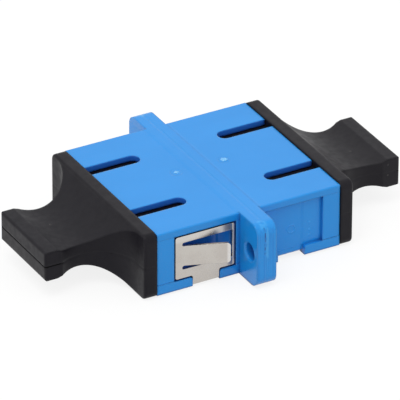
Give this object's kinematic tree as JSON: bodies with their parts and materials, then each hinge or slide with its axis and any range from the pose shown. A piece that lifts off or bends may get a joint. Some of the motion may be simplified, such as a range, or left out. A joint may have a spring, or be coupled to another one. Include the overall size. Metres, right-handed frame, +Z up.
{
  "type": "sc fibre adapter",
  "caption": "Blue flanged duplex coupler that joins fibre plugs end to end, with a steel panel clip and black pull-out dust caps with waisted grips.",
  "frame": {"origin": "bottom centre of the part, in the plane where the two housing halves meet", "axes": "+X along the fibres towards the half without the clip, +Z up through the side with the keyways, -Y towards the viewer of the picture"},
  "size_m": [0.0536, 0.0352, 0.0096],
  "materials": {
    "blue_plastic": "moulded, semi-gloss",
    "black_plastic": "soft moulded plastic, satin",
    "spring_steel": "rolled stainless, satin",
    "insert_plastic": "natural moulded, satin",
    "zirconia": "ground ceramic"
  },
  "bodies": {
    "housing": {"body_half_left": "blue_plastic", "body_half_right": "blue_plastic", "latch_insert_left_front": "insert_plastic", "latch_insert_left_rear": "insert_plastic", "latch_insert_right_front": "insert_plastic", "latch_insert_right_rear": "insert_plastic", "split_sleeve_front": "zirconia", "split_sleeve_rear": "zirconia", "mounting_clip": "spring_steel"},
    "cap_left": {"dust_cap_left": "black_plastic"},
    "cap_right": {"dust_cap_right": "black_plastic"}
  },
  "joints": [
    {"name": "cap_left_pull", "type": "slide", "parent": "housing", "child": "cap_left", "axis": [-1, 0, 0], "range_m": [0, 0.06]},
    {"name": "cap_right_pull", "type": "slide", "parent": "housing", "child": "cap_right", "axis": [1, 0, 0], "range_m": [0, 0.06]}
  ]
}
